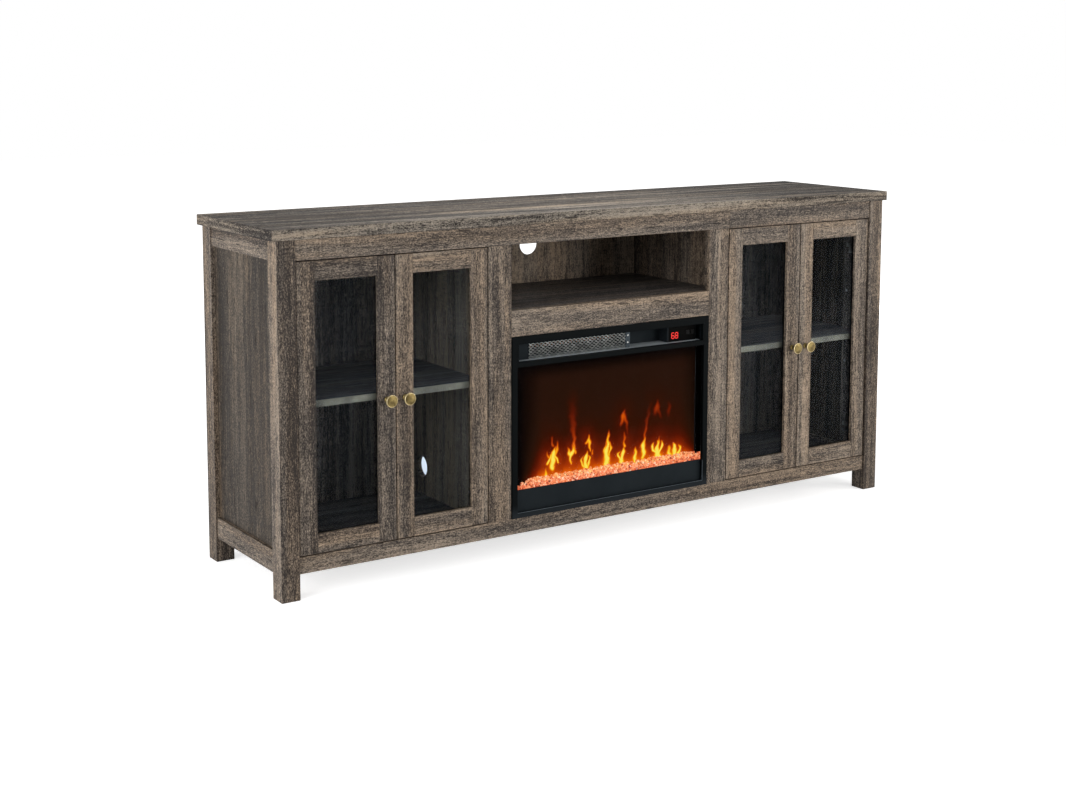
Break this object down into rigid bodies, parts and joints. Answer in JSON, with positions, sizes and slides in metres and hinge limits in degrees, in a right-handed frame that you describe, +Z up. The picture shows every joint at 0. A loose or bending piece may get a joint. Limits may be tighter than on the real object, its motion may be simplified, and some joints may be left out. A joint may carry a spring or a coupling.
{
  "type": "fireplace tv stand",
  "caption": "Low wooden media cabinet on square legs with glazed doors at both ends, an open middle shelf and an electric fireplace insert below it.",
  "frame": {"origin": "bottom centre of the bounding box, at floor level, midway between the two ends", "axes": "+X to the right along the cabinet as seen from the front, +Y to the back, +Z up"},
  "size_m": [1.778, 0.42, 0.805],
  "materials": {
    "oak_top": "weathered grey-brown oak, dark open grain, grain along the length",
    "oak_frame": "weathered grey-brown oak, dark open grain",
    "oak_inside": "grey-brown oak foil, satin",
    "clear_glass": "clear, polished",
    "smoked_glass": "lightly smoked, polished",
    "knob_brass": "aged antique brass, satin",
    "nickel": "nickel plated",
    "black_steel": "black powder coat, fine texture",
    "galvanised_steel": "zinc-coated sheet",
    "mesh_steel": "bare expanded metal",
    "black_plastic": "fine texture",
    "flame_screen": "translucent, lit from behind",
    "crystal": "clear cut crystals, lit from below"
  },
  "bodies": {
    "case": {"top_slab": "oak_top", "front_left_leg": "oak_frame", "front_right_leg": "oak_frame", "back_left_leg": "oak_frame", "back_right_leg": "oak_frame", "left_side_bottom_rail": "oak_frame", "left_side_top_rail": "oak_frame", "left_side_panel": "oak_frame", "left_hinge_cleat": "oak_inside", "right_side_bottom_rail": "oak_frame", "right_side_top_rail": "oak_frame", "right_side_panel": "oak_frame", "right_hinge_cleat": "oak_inside", "front_bottom_rail": "oak_frame", "front_top_rail": "oak_frame", "left_stile": "oak_frame", "right_stile": "oak_frame", "mid_rail": "oak_frame", "left_partition": "oak_inside", "right_partition": "oak_inside", "floor_board": "oak_inside", "middle_deck": "oak_inside", "back_panel": "oak_inside", "left_shelf": "oak_inside", "right_shelf": "oak_inside", "left_outer_hinge_arm": "nickel", "left_inner_hinge_arm": "nickel", "right_inner_hinge_arm": "nickel", "right_outer_hinge_arm": "nickel", "insert_trim": "black_steel", "insert_housing": "galvanised_steel", "ember_tray": "black_steel", "fire_glass": "smoked_glass", "ember_bed": "crystal", "flame_screen": "flame_screen", "heater_grille": "mesh_steel", "control_box": "black_plastic", "spindle_motor": "galvanised_steel", "blower_duct": "galvanised_steel"},
    "left_outer_door": {"left_outer_door_frame": "oak_frame", "left_outer_door_glass": "clear_glass", "left_outer_door_knob": "knob_brass"},
    "left_inner_door": {"left_inner_door_frame": "oak_frame", "left_inner_door_glass": "clear_glass", "left_inner_door_knob": "knob_brass"},
    "right_inner_door": {"right_inner_door_frame": "oak_frame", "right_inner_door_glass": "clear_glass", "right_inner_door_knob": "knob_brass"},
    "right_outer_door": {"right_outer_door_frame": "oak_frame", "right_outer_door_glass": "clear_glass", "right_outer_door_knob": "knob_brass"},
    "left_outer_link": {"left_outer_hinge_link": "nickel"},
    "left_inner_link": {"left_inner_hinge_link": "nickel"},
    "right_inner_link": {"right_inner_hinge_link": "nickel"},
    "right_outer_link": {"right_outer_hinge_link": "nickel"},
    "spindle": {"flame_spindle": "galvanised_steel"},
    "blower": {"blower_wheel": "galvanised_steel"},
    "power_key": {"power_button": "black_plastic"},
    "heat_key": {"heat_button": "black_plastic"}
  },
  "joints": [
    {"name": "left_outer_door_swing", "type": "hinge", "parent": "case", "child": "left_outer_door", "pos_m": [-0.8305, -0.185, 0.4145], "axis": [0, 0, -1], "range_deg": [0, 105]},
    {"name": "left_inner_door_swing", "type": "hinge", "parent": "case", "child": "left_inner_door", "pos_m": [-0.3555, -0.185, 0.4145], "axis": [0, 0, 1], "range_deg": [0, 105]},
    {"name": "right_inner_door_swing", "type": "hinge", "parent": "case", "child": "right_inner_door", "pos_m": [0.3555, -0.185, 0.4145], "axis": [0, 0, -1], "range_deg": [0, 105]},
    {"name": "right_outer_door_swing", "type": "hinge", "parent": "case", "child": "right_outer_door", "pos_m": [0.8305, -0.185, 0.4145], "axis": [0, 0, 1], "range_deg": [0, 105]},
    {"name": "left_outer_link_fold", "type": "hinge", "parent": "case", "child": "left_outer_link", "pos_m": [-0.8195, -0.1634, 0.1705], "axis": [0, 0, -1], "range_deg": [0, 43]},
    {"name": "left_inner_link_fold", "type": "hinge", "parent": "case", "child": "left_inner_link", "pos_m": [-0.3665, -0.1634, 0.1705], "axis": [0, 0, 1], "range_deg": [0, 43]},
    {"name": "right_inner_link_fold", "type": "hinge", "parent": "case", "child": "right_inner_link", "pos_m": [0.3665, -0.1634, 0.1705], "axis": [0, 0, -1], "range_deg": [0, 43]},
    {"name": "right_outer_link_fold", "type": "hinge", "parent": "case", "child": "right_outer_link", "pos_m": [0.8195, -0.1634, 0.1705], "axis": [0, 0, 1], "range_deg": [0, 43]},
    {"name": "flame_spindle_turn", "type": "hinge", "parent": "case", "child": "spindle", "pos_m": [0, -0.083, 0.1893], "axis": [1, 0, 0], "continuous": true},
    {"name": "blower_turn", "type": "hinge", "parent": "case", "child": "blower", "pos_m": [-0.084, -0.076, 0.4823], "axis": [1, 0, 0], "continuous": true},
    {"name": "power_button_press", "type": "slide", "parent": "case", "child": "power_key", "axis": [0, 1, 0], "range_m": [0, 0.001], "stiffness_N_per_m": 400},
    {"name": "heat_button_press", "type": "slide", "parent": "case", "child": "heat_key", "axis": [0, 1, 0], "range_m": [0, 0.001], "stiffness_N_per_m": 400}
  ],
  "couplings": [
    {"joint": "left_outer_link_fold", "follows": "left_outer_door_swing", "ratio": 0.4},
    {"joint": "left_inner_link_fold", "follows": "left_inner_door_swing", "ratio": 0.4},
    {"joint": "right_inner_link_fold", "follows": "right_inner_door_swing", "ratio": 0.4},
    {"joint": "right_outer_link_fold", "follows": "right_outer_door_swing", "ratio": 0.4}
  ]
}
